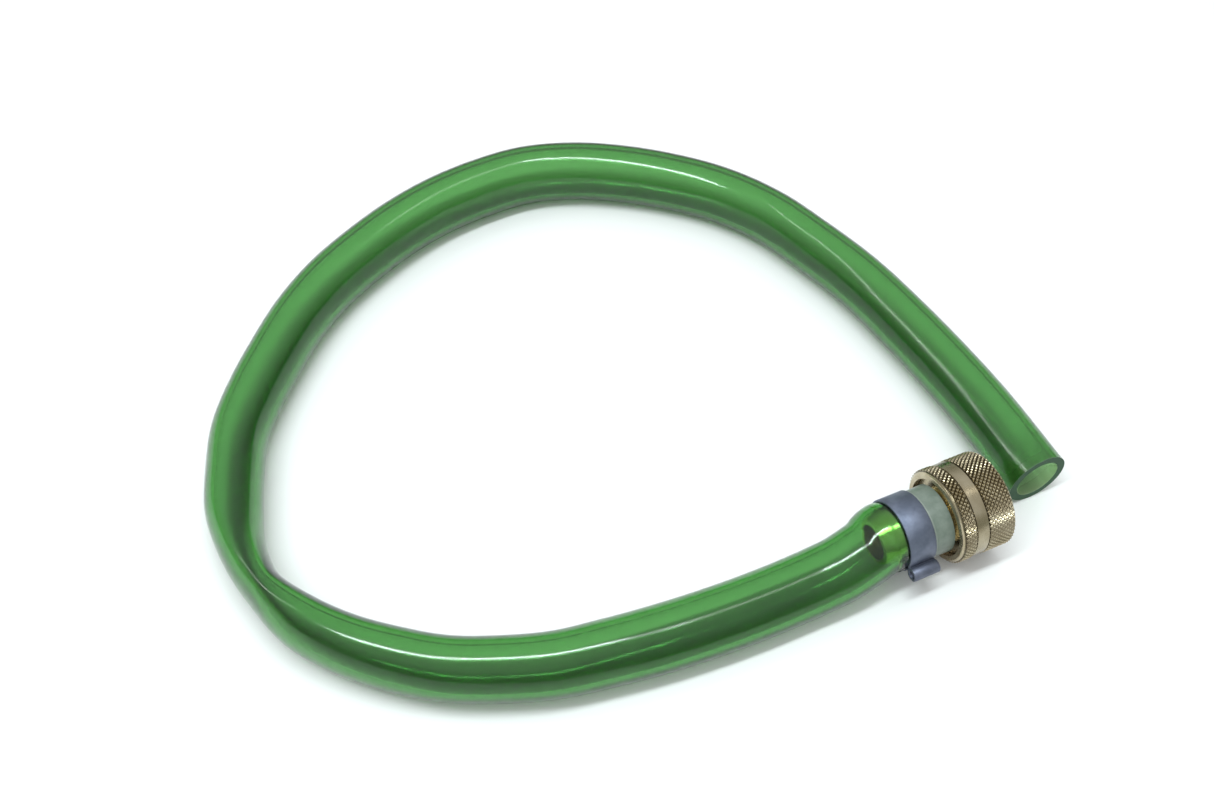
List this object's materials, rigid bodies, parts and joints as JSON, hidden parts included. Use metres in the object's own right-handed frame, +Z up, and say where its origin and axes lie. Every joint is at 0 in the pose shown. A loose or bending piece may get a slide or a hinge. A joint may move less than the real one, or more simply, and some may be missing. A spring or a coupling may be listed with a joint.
{
  "type": "gravel vacuum siphon hose",
  "caption": "Short green siphon hose lying in an open loop, bare at one end and clamped at the other to a barbed stem with a knurled swivel thread nut.",
  "frame": {"origin": "on the surface the part lies on, under the middle of the stem, nut and clamp without the hose", "axes": "+X along the stem's axis and out of the nut's mouth, +Z up, +Y to the side on which the hose's loop lies"},
  "size_m": [0.1999, 0.1745, 0.024],
  "materials": {
    "hose": "gloss",
    "stem_brass": "satin",
    "clamp_steel": "satin",
    "nut_brass": "satin",
    "washer_rubber": "matte"
  },
  "bodies": {
    "hose_assembly": {"hose": "hose", "barbed_stem": "stem_brass", "ear_clamp": "clamp_steel"},
    "nut": {"swivel_nut": "nut_brass", "sealing_washer": "washer_rubber"}
  },
  "joints": [
    {"name": "nut_spin", "type": "hinge", "parent": "hose_assembly", "child": "nut", "pos_m": [0.0041, 0, 0.012], "axis": [1, 0, 0], "continuous": true}
  ]
}
